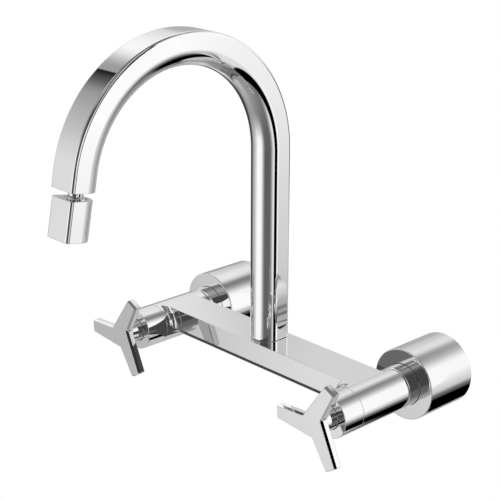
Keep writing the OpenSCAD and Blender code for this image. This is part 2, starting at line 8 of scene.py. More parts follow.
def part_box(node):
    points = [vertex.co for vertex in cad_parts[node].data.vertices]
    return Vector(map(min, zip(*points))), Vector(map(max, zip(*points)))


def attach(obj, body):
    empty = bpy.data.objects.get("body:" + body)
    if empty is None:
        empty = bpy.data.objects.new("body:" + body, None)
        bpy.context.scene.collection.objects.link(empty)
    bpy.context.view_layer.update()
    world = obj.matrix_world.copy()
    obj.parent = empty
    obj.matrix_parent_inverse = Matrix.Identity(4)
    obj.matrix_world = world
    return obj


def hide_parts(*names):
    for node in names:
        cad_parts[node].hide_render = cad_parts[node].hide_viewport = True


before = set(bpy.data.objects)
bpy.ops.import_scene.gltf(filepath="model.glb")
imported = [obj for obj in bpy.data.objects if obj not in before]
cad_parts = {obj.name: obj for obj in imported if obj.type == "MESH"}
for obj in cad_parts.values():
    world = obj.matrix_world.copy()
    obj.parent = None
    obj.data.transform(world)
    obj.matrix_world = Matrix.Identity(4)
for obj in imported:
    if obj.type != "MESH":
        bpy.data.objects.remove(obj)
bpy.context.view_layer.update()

MM = 0.001

# Rounded edges, by piece
SHARP_EDGE = 0.12 * MM
SEAM_EDGE = 0.25 * MM
FINE_EDGE = 0.3 * MM
COVER_EDGE = 0.7 * MM
BONNET_EDGE = 0.4 * MM
BARREL_REAR_EDGE = 0.7 * MM
ARM_FRONT_EDGE = 0.4 * MM
ARM_FACET = 2.4 * MM
ARM_LEAN = math.radians(13)
FACET_EASE = 0.15 * MM
ARM_BACK_EDGE = 0.6 * MM
ARM_CORNER = 0.5 * MM
NOZZLE_EDGE = 0.35 * MM

# Spout: width, depth and height come from the frame
SPOUT_DEPTH = 23 * MM
SPOUT_CORNER = 2.2 * MM
SPOUT_WALL = 1.6 * MM
ARCH_R = 80.5 * MM
ARCH_SWEEP = math.radians(169)
OUTLET_L = 11.5 * MM
spout_low, spout_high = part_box("spout_tube")
SPOUT_W = spout_high.x - spout_low.x
FLAT_SIDE = SPOUT_DEPTH - SPOUT_W / 2
RISER_Y = spout_high.y - FLAT_SIDE
RISER_FOOT = spout_low.z
ARCH_Y = RISER_Y - ARCH_R
ARCH_Z = spout_high.z - ARCH_R - FLAT_SIDE

# Nozzle, in distances from the spout's end along the stem
NOZZLE_GAP = 5.1 * MM
NOZZLE_L = 26 * MM
NOZZLE_W = 21.2 * MM
NOZZLE_DEPTH = 21.4 * MM
NOZZLE_MOUTH_R = 7.3 * MM
NOZZLE_BORE_R = 9.3 * MM
BALL_SEAT_R = 8.55 * MM
STEM_HOLE_R = 5.3 * MM
STEM_HOLE_L = 8 * MM

# Valves, in distances from the wall along a valve's axis
bridge_low, bridge_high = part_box("bridge_body")
BARREL_R = bridge_high.z
BARREL_BACK = -bridge_high.y
BARREL_FRONT = -bridge_low.y
BARREL_BEVEL = 1.2 * MM
VALVE_X = bridge_high.x - BARREL_R
TAIL_HOLE_R = 9.58 * MM
TAIL_HOLE_L = 10 * MM
PORT_R = 5 * MM
CAVITY_R = 10.5 * MM
CAVITY_L = 29.1 * MM
cover_low, cover_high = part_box("left_escutcheon")
COVER_R = (cover_high.x - cover_low.x) / 2
COVER_L = -cover_low.y
COVER_WALL = 1.5 * MM
COVER_FRONT = 3 * MM
COLLAR_R = 15 * MM
COLLAR_GAP = 0.3 * MM
RING_GROOVE_W = 1.5 * MM
RING_GROOVE_DEPTH = 1.2 * MM
nut_low, nut_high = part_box("left_union_nut")
NUT_FLATS = nut_high.z - nut_low.z
NUT_BACK = -nut_high.y
NUT_FRONT = COVER_L - COVER_FRONT - COLLAR_GAP
NUT_CHAMFER = 1.2 * MM
UNION_BORE_R = 13.28 * MM
LIP = (29 * MM, 33 * MM)
SKIRT_BORE_R = 13 * MM
bonnet_low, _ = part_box("left_bonnet")
BONNET_FRONT = -bonnet_low.y
BONNET_FRONT_T = 3 * MM
BONNET_BORE_R = 12.5 * MM
BONNET_HOLE_R = 8.6 * MM
handle_low, handle_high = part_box("left_handle")
ARM_FRONT = -handle_low.y
ARM_T = 6.3 * MM
ARM_BACK = ARM_FRONT - ARM_T
ARM_W = 9.6 * MM
ARM_REACH = 32.4 * MM
ARM_REST = math.radians(63.2)
ARM_COUNT = 3
NOTCH_R = 9.5 * MM
HUB_R = 8.3 * MM
HUB_BACK = -handle_high.y
SPINDLE_HOLE_R = 4.05 * MM
connector_low, connector_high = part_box("left_wall_connector")
STUB_END = -connector_high.y
STUB_R = 10.48 * MM
STUB_BORE_R = 6.5 * MM
CONNECTOR_HEX = (3 * MM, 11 * MM)
CONNECTOR_FLATS = 27 * MM
CONNECTOR_FRONT = -connector_low.y
UNION_THREAD_R = 13.2 * MM
THREAD_PITCH = 1.814 * MM
THREAD_DEPTH = 1.0 * MM
FLANK_SLOPE = 1.25
ROOT_SHARE = 0.12
HEX_CORNER = 0.6 * MM
CHAMFER_SHARE = 0.985

# Bar between the barrels
BAR_SETBACK = 8.6 * MM
BAR_DEPTH = 30.6 * MM
BAR_HEIGHT = 19 * MM
BAR_STEP = 0.1 * MM
BAR_BACK = bridge_high.y - BAR_SETBACK
BAR_FRONT = BAR_BACK - BAR_DEPTH
BAR_TOP = BARREL_R - BAR_STEP
BAR_BOTTOM = BAR_TOP - BAR_HEIGHT
BAR_ROUND = 3.7 * MM
BAR_EDGE = 0.3 * MM
BAR_SINK = 0.4 * MM
FILLET_R = 4.5 * MM
FILLET_SINK = 0.03 * MM
SOCKET_R = 8.95 * MM
SOCKET_DEPTH = 15.2 * MM
BEARING_SEAT_R = 10.5 * MM
BEARING_SEAT = 1 * MM
LOCK_Z = 9.8 * MM
LOCK_HOLE_R = 2.08 * MM
LOCK_HOLE_L = 6.5 * MM

# How finely shapes are divided: facets round an axis, steps along a curve, degrees along an arc
BARREL_FACETS = 128
COVER_FACETS = 160
HUB_FACETS = 96
NUT_FACETS = 120
CONNECTOR_FACETS = 96
ROWS_PER_THREAD = 12
ARCH_STEPS = 130
SEAT_STEPS = 8
END_STEPS = 4
EDGE_STEPS = 6
CHAMFER_STEPS = 5
FILLET_ROWS = 40
FILLET_STEPS = 16
EDGE_ARC = 18
SPOUT_ARC = 3
BAR_ARC = 6
BAR_OUTLINE_PITCH = 1.2 * MM
BAR_RING_PITCH = 1.75 * MM
SOCKET_RINGS = 8
LOCK_RINGS = 2

# Tolerances, and the small step over which a slope is taken
SAME_SPOT = 1e-7
SAME_WAY = 1e-4
NUDGE = 1e-5
FLAT = 0.9999
LEAST_ROUND = 0.01 * MM
SHARP_ANGLE = math.radians(28)

# Camera, fitted to the photograph; the focal length is a share of the picture's width
CAMERA_AT = Vector((0.65710, -0.71429, 0.40777))
CAMERA_AZIMUTH = math.radians(46.659)
CAMERA_ELEVATION = math.radians(19.683)
CAMERA_ROLL = math.radians(0.202)
SENSOR = 36
FOCAL_SHARE = 1381.2 / 500

# Stage
FLOOR_Z = -0.4
FLOOR_SIZE = 40
FLOOR_GLOW = 1
# The card below the bar is a near-black sheet that paints shade into the bar's lower edge
CARD_Z = -13 * MM
CARD_TOP = -2.8 * MM
CARD_REACH = 4 * MM
CARD_GLOW = 0.06
SCREEN_GAMMA = 2.2


# Shader maths

class Wire:
    """A socket that takes part in sums, so that shader maths reads as plain expressions."""

    def __init__(self, board, socket):
        self.board = board
        self.socket = socket

    def of(self, name):
        """Another output of the same node."""
        return Wire(self.board, self.socket.node.outputs[name])

    def math(self, operation, first, second=0.0):
        return self.board.add("ShaderNodeMath", {"operation": operation}, {0: first, 1: second})

    def __add__(self, other):
        return self.math("ADD", self, other)

    def __sub__(self, other):
        return self.math("SUBTRACT", self, other)

    def __rsub__(self, other):
        return self.math("SUBTRACT", other, self)

    def __mul__(self, other):
        return self.math("MULTIPLY", self, other)

    def __pow__(self, other):
        return self.math("POWER", self, other)

    def __neg__(self):
        return self.math("MULTIPLY", self, -1.0)

    __radd__ = __add__
    __rmul__ = __mul__

    def lesser(self, other):
        return self.math("MINIMUM", self, other)

    def step(self, start, end):
        """Rises smoothly from 0 at start to 1 at end."""
        low, high, first, last = (start, end, 0.0, 1.0) if start < end else (end, start, 1.0, 0.0)
        settings = {"interpolation_type": "SMOOTHSTEP"}
        values = {"Value": self, "From Min": low, "From Max": high, "To Min": first, "To Max": last}
        return self.board.add("ShaderNodeMapRange", settings, values)

    def over(self, level, share):
        """This value, covered by a level where share is 1."""
        return self + (level - self) * share


class Board:
    """A node tree to which nodes are added by type, settings and sockets."""

    def __init__(self, tree):
        self.tree = tree

    def add(self, kind, settings=None, sockets=None, output=0):
        """Adds a node and gives one of its outputs."""
        node = self.tree.nodes.new(kind)
        for name, value in (settings or {}).items():
            setattr(node, name, value)
        for name, value in (sockets or {}).items():
            self.feed(node.inputs[name], value)
        return Wire(self, node.outputs[output])

    def feed(self, socket, value):
        """Links a wire to a socket, or sets the socket's own value."""
        if isinstance(value, Wire):
            self.tree.links.new(value.socket, socket)
        else:
            socket.default_value = value

    def blend(self, share, first, second):
        """A colour between two colours."""
        sockets = {0: share, 6: first, 7: second}
        return self.add("ShaderNodeMix", {"data_type": "RGBA"}, sockets, output=2)

    def noise(self, place, scale, detail=2.0, roughness=0.5):
        sockets = {"Vector": place, "Scale": scale, "Detail": detail, "Roughness": roughness}
        return self.add("ShaderNodeTexNoise", {}, sockets)

    def stretched(self, place, factors):
        """Coordinates multiplied axis by axis."""
        return self.add("ShaderNodeVectorMath", {"operation": "MULTIPLY"}, {0: place, 1: factors})


# Finishes

def finish(name):
    """A new material, its board, its shader and the piece's own coordinates in metres."""
    material = bpy.data.materials.new(name)
    material.use_nodes = True
    board = Board(material.node_tree)
    shader = material.node_tree.nodes["Principled BSDF"]
    place = board.add("ShaderNodeTexCoord", output="Object")
    return material, board, shader, place


def bumped(board, height, strength, distance):
    """A normal that follows a height."""
    sockets = {"Height": height, "Strength": strength, "Distance": distance}
    return board.add("ShaderNodeBump", {}, sockets)


def chrome_plate():
    """Mirror plating with a faint haze left by polishing."""
    material, board, shader, place = finish("chrome_plate")
    cloud = board.noise(place, scale=26, detail=4, roughness=0.55)
    grain = board.noise(place, scale=1400)
    haze = cloud.step(0.42, 0.72)
    bright = (0.95, 0.952, 0.957, 1)
    hazy = (0.925, 0.93, 0.94, 1)
    board.feed(shader.inputs["Base Color"], board.blend(haze, bright, hazy))
    board.feed(shader.inputs["Roughness"], 0.022 + 0.02 * haze + 0.012 * grain)
    shader.inputs["Metallic"].default_value = 1.0
    return material


def turned_brass():
    """Bare brass with fine turning marks and a little tarnish."""
    material, board, shader, place = finish("turned_brass")
    round_axis = board.stretched(place, (60, 2600, 60))
    marks = board.noise(round_axis, scale=1.0, detail=3, roughness=0.6)
    tarnish = board.noise(place, scale=70, detail=5, roughness=0.6).step(0.45, 0.75)
    clean = (0.80, 0.56, 0.22, 1)
    dulled = (0.62, 0.40, 0.15, 1)
    board.feed(shader.inputs["Base Color"], board.blend(tarnish, clean, dulled))
    board.feed(shader.inputs["Roughness"], 0.2 + 0.12 * marks + 0.14 * tarnish)
    board.feed(shader.inputs["Normal"], bumped(board, marks, strength=0.25, distance=0.05 * MM))
    shader.inputs["Metallic"].default_value = 1.0
    return material


def moulded_rubber():
    """Dull black rubber with a fine bloom."""
    material, board, shader, place = finish("moulded_rubber")
    bloom = board.noise(place, scale=240, detail=4, roughness=0.65).step(0.4, 0.8)
    grain = board.noise(place, scale=5200)
    black = (0.018, 0.018, 0.019, 1)
    greyed = (0.04, 0.04, 0.042, 1)
    board.feed(shader.inputs["Base Color"], board.blend(bloom, black, greyed))
    board.feed(shader.inputs["Roughness"], 0.48 + 0.2 * bloom)
    board.feed(shader.inputs["Normal"], bumped(board, grain, strength=0.2, distance=0.04 * MM))
    return material


def lapped_ceramic():
    """Dense ivory ceramic, lapped nearly to a gloss."""
    material, board, shader, place = finish("lapped_ceramic")
    speck = board.noise(place, scale=3800, detail=3, roughness=0.6).step(0.55, 0.7)
    ivory = (0.86, 0.83, 0.76, 1)
    darker = (0.78, 0.75, 0.68, 1)
    board.feed(shader.inputs["Base Color"], board.blend(speck, ivory, darker))
    board.feed(shader.inputs["Roughness"], 0.14 + 0.1 * speck)
    return material


def white_acetal():
    """Milky moulded plastic."""
    material, board, shader, place = finish("white_acetal")
    cloud = board.noise(place, scale=320, detail=3, roughness=0.6)
    grain = board.noise(place, scale=4200)
    milky = (0.80, 0.80, 0.78, 1)
    white = (0.88, 0.88, 0.87, 1)
    board.feed(shader.inputs["Base Color"], board.blend(cloud, milky, white))
    board.feed(shader.inputs["Roughness"], 0.32 + 0.12 * grain)
    board.feed(shader.inputs["Normal"], bumped(board, grain, strength=0.12, distance=0.03 * MM))
    shader.inputs["Subsurface Weight"].default_value = 0.1
    shader.inputs["Subsurface Radius"].default_value = (MM, MM, MM)
    return material


def stainless_steel():
    """Bright drawn steel with fine scratches."""
    material, board, shader, place = finish("stainless_steel")
    along_draw = board.stretched(place, (4200, 300, 300))
    scratch = board.noise(along_draw, scale=1.0, detail=3, roughness=0.6)
    drawn = (0.60, 0.60, 0.61, 1)
    scratched = (0.74, 0.74, 0.75, 1)
    board.feed(shader.inputs["Base Color"], board.blend(scratch, drawn, scratched))
    board.feed(shader.inputs["Roughness"], 0.16 + 0.18 * scratch)
    board.feed(shader.inputs["Normal"], bumped(board, scratch, strength=0.1, distance=0.03 * MM))
    shader.inputs["Metallic"].default_value = 1.0
    return material


FINISHES = {
    "chrome": chrome_plate(),
    "brass": turned_brass(),
    "rubber": moulded_rubber(),
    "ceramic": lapped_ceramic(),
    "plastic": white_acetal(),
    "steel": stainless_steel(),
}


# Shells

def put_in_scene(name, data):
    """A new object in the scene."""
    thing = bpy.data.objects.new(name, data)
    bpy.context.scene.collection.objects.link(thing)
    return thing


def fit_piece(name, mesh, slot, body, node):
    """Makes a mesh a piece with a finish, which rides on a body and stands for a CAD node."""
    mesh.materials.append(FINISHES[slot])
    thing = put_in_scene(name, mesh)
    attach(thing, body)
    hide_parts(node)


class Shell:
    """Points and faces of one piece, each face corner with its own true normal."""

    def __init__(self):
        self.points = []
        self.faces = []
        self.normals = []

    def ring(self, points):
        """Adds points and gives their indices."""
        start = len(self.points)
        self.points.extend(points)
        return list(range(start, len(self.points)))

    def face(self, corners, normals):
        """Adds a face, wound so that it looks the way its normals point."""
        first = self.points[corners[0]]
        spots = [self.points[i] - first for i in corners]
        around = Vector()
        for here, after in zip(spots, spots[1:]):
            around += here.cross(after)
        if around.dot(sum(normals, Vector())) < 0:
            corners, normals = corners[::-1], normals[::-1]
        self.faces.append(corners)
        self.normals.extend(normals)

    def band(self, ring_a, normals_a, ring_b, normals_b):
        """Joins two rings of as many points by four-sided faces."""
        for i in range(len(ring_a)):
            j = (i + 1) % len(ring_a)
            corners = [ring_a[i], ring_a[j], ring_b[j], ring_b[i]]
            self.face(corners, [normals_a[i], normals_a[j], normals_b[j], normals_b[i]])

    def plate(self, ring_a, ring_b, normal):
        """A flat face between two rings."""
        normals = [normal] * len(ring_a)
        self.band(ring_a, normals, ring_b, normals)

    def cap(self, ring, normal):
        """A flat face that closes a ring."""
        self.face(list(ring), [normal] * len(ring))

    def piece(self, name, slot, body, node):
        """Makes the shell a piece of the mixer."""
        mesh = bpy.data.meshes.new(name)
        mesh.from_pydata(self.points, [], self.faces)
        mesh.shade_smooth()
        mesh.normals_split_custom_set(self.normals)
        fit_piece(name, mesh, slot, body, node)


def corner_ways(corners, i):
    """A corner's place, the directions in which an outline comes to it and leaves it, and its turn."""
    here = Vector(corners[i][:2])
    way_in = (here - Vector(corners[i - 1][:2])).normalized()
    way_out = (Vector(corners[(i + 1) % len(corners)][:2]) - here).normalized()
    turn = math.atan2(way_in.cross(way_out), way_in.dot(way_out))
    return here, way_in, way_out, turn


def drawn_in(corners, inset):
    """The corners of an outline whose sides have all moved inwards."""
    moved = []
    for i, (_, _, radius) in enumerate(corners):
        here, way_in, way_out, turn = corner_ways(corners, i)
        inner = Vector((-way_in.y - way_out.y, way_in.x + way_out.x))
        spot = here + inner * inset / (1 + way_in.dot(way_out))
        moved.append((*spot, max(radius - math.copysign(inset, turn), LEAST_ROUND)))
    return moved


def rounded_outline(corners, step=EDGE_ARC):
    """A closed outline with each corner (x, y, radius) rounded: its points and their outward normals.

    The corners run counter-clockwise, and step is the greatest angle between two points of an arc.
    """
    points, normals = [], []
    for i, (_, _, radius) in enumerate(corners):
        here, way_in, _, turn = corner_ways(corners, i)
        start = here - way_in * radius * math.tan(abs(turn) / 2)
        side = math.copysign(1, turn)
        centre = start + Vector((-way_in.y, way_in.x)) * radius * side
        steps = max(1, math.ceil(abs(math.degrees(turn)) / step - SAME_WAY))
        for k in range(steps + 1):
            way = Matrix.Rotation(turn * k / steps, 2) @ way_in
            normal = Vector((way.y, -way.x))
            point = centre + normal * radius * side
            if not points or (point - points[-1]).length > SAME_SPOT:
                points.append(point)
                normals.append(normal)
    return points, normals


def dense(outline, pitch):
    """The outline with points added along its straight stretches."""
    points, normals = [], []
    for i, (point, normal) in enumerate(zip(*outline)):
        after = outline[0][(i + 1) % len(outline[0])]
        same = (outline[1][(i + 1) % len(outline[0])] - normal).length < SAME_WAY
        parts = max(1, round((after - point).length / pitch)) if same else 1
        for k in range(parts):
            points.append(point.lerp(after, k / parts))
            normals.append(normal)
    return points, normals


def turned(shell, place, outline, count):
    """Adds a body of revolution: the outline's points are (radius, distance along the axis)."""
    angles = [2 * math.pi * i / count for i in range(count)]
    spokes = [(math.cos(a), math.sin(a)) for a in angles]
    turn = place.to_3x3()
    rings, normals = [], []
    for (radius, along), (out, forward) in zip(*outline):
        rings.append(shell.ring([place @ Vector((radius * c, radius * s, along)) for c, s in spokes]))
        normals.append([turn @ Vector((out * c, out * s, forward)) for c, s in spokes])
    for i in range(len(rings)):
        shell.band(rings[i - 1], normals[i - 1], rings[i], normals[i])


def ring_at(shell, place, outline, inset=0.0, lift=0.0, tilt=0.0):
    """A ring of the outline on a plane, drawn in and raised, with its normals tilted up by an angle."""
    turn = place.to_3x3()
    spots = [place @ Vector((p.x - n.x * inset, p.y - n.y * inset, lift)) for p, n in zip(*outline)]
    side, up = math.cos(tilt), math.sin(tilt)
    normals = [turn @ Vector((n.x * side, n.y * side, up)) for n in outline[1]]
    return shell.ring(spots), normals


def rounded_end(shell, place, outline, edge, end, away):
    """Rings of an edge that rounds over to a flat end; away is 1 for an end that faces up, else -1."""
    rings = []
    for k in range(END_STEPS + 1):
        tilt = math.pi / 2 * k / END_STEPS
        inset = edge * (1 - math.cos(tilt))
        lift = end - away * edge * (1 - math.sin(tilt))
        rings.append(ring_at(shell, place, outline, inset, lift, away * tilt))
    return rings


def joined(shell, rings):
    """Joins each ring to the next one."""
    for (ring_a, normals_a), (ring_b, normals_b) in zip(rings, rings[1:]):
        shell.band(ring_a, normals_a, ring_b, normals_b)


def edge_steps(radius, facet=0, lean=0):
    """Steps over an edge as (inset, drop from the end, tilt): a facet that leans in, then a round."""
    inset = max(facet - radius * (1 - math.sin(lean)), 0) * math.tan(lean)
    steps = [(0, facet + FACET_EASE, 0), (0, facet, lean)] if facet else []
    for k in range(EDGE_STEPS + 1):
        tilt = lean + (math.pi / 2 - lean) * k / EDGE_STEPS
        roll_in = radius * (math.cos(lean) - math.cos(tilt))
        steps.append((inset + roll_in, radius * (1 - math.sin(tilt)), tilt))
    return steps


def slab(shell, place, corners, ends, edges):
    """Adds a flat plate with those corners, a low and a high end and the steps of the edge at each."""
    rings = []
    for end, steps, away in zip(ends, edges, (-1, 1)):
        part = []
        for inset, drop, tilt in steps:
            outline = rounded_outline(drawn_in(corners, inset))
            part.append(ring_at(shell, place, outline, 0, end - away * drop, away * tilt))
        rings += part if away > 0 else part[::-1]
    joined(shell, rings)
    up = place.to_3x3() @ Vector((0, 0, 1))
    shell.cap(rings[0][0], -up)
    shell.cap(rings[-1][0], up)


def circle_ring(shell, place, angles, radius, along):
    """A ring of points on a circle, with normals that face its axis."""
    turn = place.to_3x3()
    spots = [place @ Vector((radius * math.cos(a), radius * math.sin(a), along)) for a in angles]
    normals = [turn @ Vector((-math.cos(a), -math.sin(a), 0)) for a in angles]
    return shell.ring(spots), normals


# Places

def valve_place(side):
    """A valve's axis: Z runs out from the wall, Y is up."""
    return Matrix(((1, 0, 0, side * VALVE_X), (0, 0, -1, 0), (0, 1, 0, 0), (0, 0, 0, 1)))


def arch_place(angle):
    """A plane across the spout at an angle of its arch: Z runs downstream, Y to the flat side."""
    c, s = math.cos(angle), math.sin(angle)
    y = ARCH_Y + ARCH_R * c
    z = ARCH_Z + ARCH_R * s
    return Matrix(((1, 0, 0, 0), (0, c, -s, y), (0, s, c, z), (0, 0, 0, 1)))


OUTLET = arch_place(ARCH_SWEEP) @ Matrix.Translation((0, 0, OUTLET_L))


# Spout

def spout_outline(width, depth, corner):
    """The section of spout and nozzle: a round front, flat sides and a flat back with round corners."""
    half = width / 2
    flat = depth - half
    return rounded_outline([
        (half, flat, corner), (-half, flat, corner), (-half, -half, half), (half, -half, half)
    ], SPOUT_ARC)


def gooseneck():
    """The tube's riser and arch, hollow."""
    shell = Shell()
    outside = spout_outline(SPOUT_W, SPOUT_DEPTH, SPOUT_CORNER)
    bore = spout_outline(SPOUT_W - 2 * SPOUT_WALL, SPOUT_DEPTH - 2 * SPOUT_WALL, SPOUT_CORNER / 2)
    foot = Matrix.Translation((0, RISER_Y, RISER_FOOT))
    planes = [arch_place(ARCH_SWEEP * i / ARCH_STEPS) for i in range(ARCH_STEPS + 1)]
    skin = rounded_end(shell, foot, outside, FINE_EDGE, 0, -1)[::-1]
    skin += [ring_at(shell, plane, outside) for plane in planes]
    joined(shell, skin)
    lining = [ring_at(shell, plane, bore) for plane in [foot, *planes]]
    lining = [(ring, [-n for n in normals]) for ring, normals in lining]
    joined(shell, lining)
    shell.plate(skin[0][0], lining[0][0], Vector((0, 0, -1)))
    shell.plate(skin[-1][0], lining[-1][0], planes[-1].to_3x3() @ Vector((0, 0, 1)))
    shell.piece("gooseneck", "chrome", "spout", "spout_tube")


def polar_angles(outline):
    """The angles at which an outline's points lie round its middle."""
    return [math.atan2(p.y, p.x) for p in outline[0]]


def spout_tip():
    """The straight end that closes the tube and takes the stem's thread."""
    shell = Shell()
    outside = spout_outline(SPOUT_W, SPOUT_DEPTH, SPOUT_CORNER)
    angles = polar_angles(outside)
    down = OUTLET.to_3x3() @ Vector((0, 0, 1))
    start = ring_at(shell, OUTLET, outside, 0, -OUTLET_L)
    end = rounded_end(shell, OUTLET, outside, FINE_EDGE, 0, 1)
    joined(shell, [start, *end])
    shell.cap(start[0], -down)
    mouth = circle_ring(shell, OUTLET, angles, STEM_HOLE_R, 0)
    inner = circle_ring(shell, OUTLET, angles, STEM_HOLE_R, -STEM_HOLE_L)
    shell.plate(end[-1][0], mouth[0], down)
    joined(shell, [mouth, inner])
    shell.cap(inner[0], down)
    shell.piece("spout_tip", "chrome", "spout", "spout_end")


def nozzle_shell():
    """The nozzle's case: a little narrower than the spout, with a ball seat above and a bore below."""
    shell = Shell()
    outside = spout_outline(NOZZLE_W, NOZZLE_DEPTH, SPOUT_CORNER)
    angles = polar_angles(outside)
    down = OUTLET.to_3x3() @ Vector((0, 0, 1))
    top = rounded_end(shell, OUTLET, outside, NOZZLE_EDGE, NOZZLE_GAP, -1)[::-1]
    bottom = rounded_end(shell, OUTLET, outside, NOZZLE_EDGE, NOZZLE_GAP + NOZZLE_L, 1)
    joined(shell, top + bottom)
    seat_angle = math.acos(NOZZLE_MOUTH_R / BALL_SEAT_R)
    ball_at = NOZZLE_GAP + BALL_SEAT_R * math.sin(seat_angle)
    seat = []
    for k in range(SEAT_STEPS + 1):
        lean = seat_angle * (1 - k / SEAT_STEPS)
        radius, along = BALL_SEAT_R * math.cos(lean), ball_at - BALL_SEAT_R * math.sin(lean)
        ring, normals = circle_ring(shell, OUTLET, angles, radius, along)
        seat.append((ring, [n * math.cos(lean) + down * math.sin(lean) for n in normals]))
    shell.plate(top[0][0], seat[0][0], -down)
    joined(shell, seat)
    bore = [circle_ring(shell, OUTLET, angles, NOZZLE_BORE_R, along)
            for along in (ball_at, NOZZLE_GAP + NOZZLE_L)]
    shell.plate(seat[-1][0], bore[0][0], down)
    joined(shell, bore)
    shell.plate(bore[1][0], bottom[-1][0], down)
    shell.piece("nozzle_shell", "chrome", "nozzle", "nozzle_housing")


# Bridge

def barrel(shell, side):
    """A valve barrel with its bores."""
    cavity = BARREL_FRONT - CAVITY_L
    tail = BARREL_BACK + TAIL_HOLE_L
    turned(shell, valve_place(side), rounded_outline([
        (BARREL_R, BARREL_FRONT, SEAM_EDGE), (CAVITY_R, BARREL_FRONT, SHARP_EDGE),
        (CAVITY_R, cavity, SHARP_EDGE), (PORT_R, cavity, SHARP_EDGE),
        (PORT_R, tail, SHARP_EDGE), (TAIL_HOLE_R, tail, SHARP_EDGE),
        (TAIL_HOLE_R, BARREL_BACK, SHARP_EDGE), (BARREL_R - BARREL_BEVEL, BARREL_BACK, BARREL_REAR_EDGE),
        (BARREL_R, BARREL_BACK + BARREL_BEVEL, BARREL_REAR_EDGE),
    ]), BARREL_FACETS)


def bar_end(height):
    """How far along X the bar reaches into a barrel at a height."""
    return VALVE_X - math.sqrt(max(BARREL_R ** 2 - height ** 2, 0)) + BAR_SINK


def window(shell, rings, chosen, centre, radii, depths, facing):
    """Closes a window in the bar's skin by a plate with a stepped round hole.

    chosen holds the outline's indices across the window, and facing is where the plate looks.
    """
    loop = [rings[0][i] for i in chosen]
    loop += [ring[chosen[-1]] for ring in rings[1:-1]]
    loop += [rings[-1][i] for i in reversed(chosen)]
    loop += [ring[chosen[0]] for ring in reversed(rings[1:-1])]
    across = Vector((1, 0, 0))
    up = facing.cross(across)
    place = Matrix((across, up, facing)).transposed().to_4x4()
    place.translation = centre
    angles = []
    for i in loop:
        way = shell.points[i] - centre
        angles.append(math.atan2(way.dot(up), way.dot(across)))
    rim = loop
    for radius, top, bottom in zip(radii, (0, *depths), depths):
        wall = [circle_ring(shell, place, angles, radius, -depth) for depth in (top, bottom)]
        shell.plate(rim, wall[0][0], facing)
        joined(shell, wall)
        rim = wall[1][0]
    shell.cap(rim, facing)


def bridge_bar(shell):
    """The bar between the barrels, with the spout's socket above and the lock screw's hole behind."""
    outline = dense(rounded_outline([
        (BAR_FRONT, BAR_BOTTOM, BAR_ROUND), (BAR_BACK, BAR_BOTTOM, BAR_EDGE),
        (BAR_BACK, BAR_TOP, BAR_EDGE), (BAR_FRONT, BAR_TOP, BAR_EDGE),
    ], BAR_ARC), BAR_OUTLINE_PITCH)
    normals = [Vector((0, n.x, n.y)) for n in outline[1]]
    middle = [BAR_RING_PITCH * i for i in range(-SOCKET_RINGS, SOCKET_RINGS + 1)]
    columns = [[-bar_end(p.y) for p in outline[0]]]
    columns += [[x] * len(outline[0]) for x in middle]
    columns += [[bar_end(p.y) for p in outline[0]]]
    rings = []
    for column in columns:
        rings.append(shell.ring([Vector((x, p.x, p.y)) for x, p in zip(column, outline[0])]))
    up, back = Vector((0, 0, 1)), Vector((0, 1, 0))
    top = [i for i, n in enumerate(normals) if n.dot(up) > FLAT]
    rear = [i for i, n in enumerate(normals) if n.dot(back) > FLAT]
    socket_span = range(1, len(rings) - 2)
    middle_ring = 1 + SOCKET_RINGS
    lock_span = range(middle_ring - LOCK_RINGS, middle_ring + LOCK_RINGS)
    count = len(normals)
    for c, (ring_a, ring_b) in enumerate(zip(rings, rings[1:])):
        for i in range(count):
            j = (i + 1) % count
            open_top = c in socket_span and i in top and j in top
            open_rear = c in lock_span and i in rear and j in rear
            if not (open_top or open_rear):
                corners = [ring_a[i], ring_a[j], ring_b[j], ring_b[i]]
                shell.face(corners, [normals[i], normals[j], normals[j], normals[i]])
    shell.cap(rings[0], Vector((-1, 0, 0)))
    shell.cap(rings[-1], Vector((1, 0, 0)))
    socket_rings = rings[1:-1]
    lock_rings = rings[lock_span.start:lock_span.stop + 1]
    window(shell, socket_rings, top, Vector((0, RISER_Y, BAR_TOP)),
           (BEARING_SEAT_R, SOCKET_R), (BEARING_SEAT, SOCKET_DEPTH), up)
    window(shell, lock_rings, rear, Vector((0, BAR_BACK, LOCK_Z)), (LOCK_HOLE_R,), (LOCK_HOLE_L,), back)


def bar_face(height):
    """Where the bar's front lies at a height, its rounded lower edge included."""
    drop = max(BAR_BOTTOM + BAR_ROUND - height, 0)
    return BAR_FRONT + BAR_ROUND - math.sqrt(max(BAR_ROUND ** 2 - drop ** 2, 0))


def fillet_spot(side, height, turn):
    """A point of the fillet between bar and barrel; turn runs from the barrel's side to the front."""
    reach = BARREL_R + FILLET_R - FILLET_SINK - FILLET_R * math.cos(turn)
    x = side * (VALVE_X - math.sqrt(reach ** 2 - height ** 2))
    y = bar_face(height) - FILLET_R + FILLET_SINK + FILLET_R * math.sin(turn)
    return Vector((x, y, height))


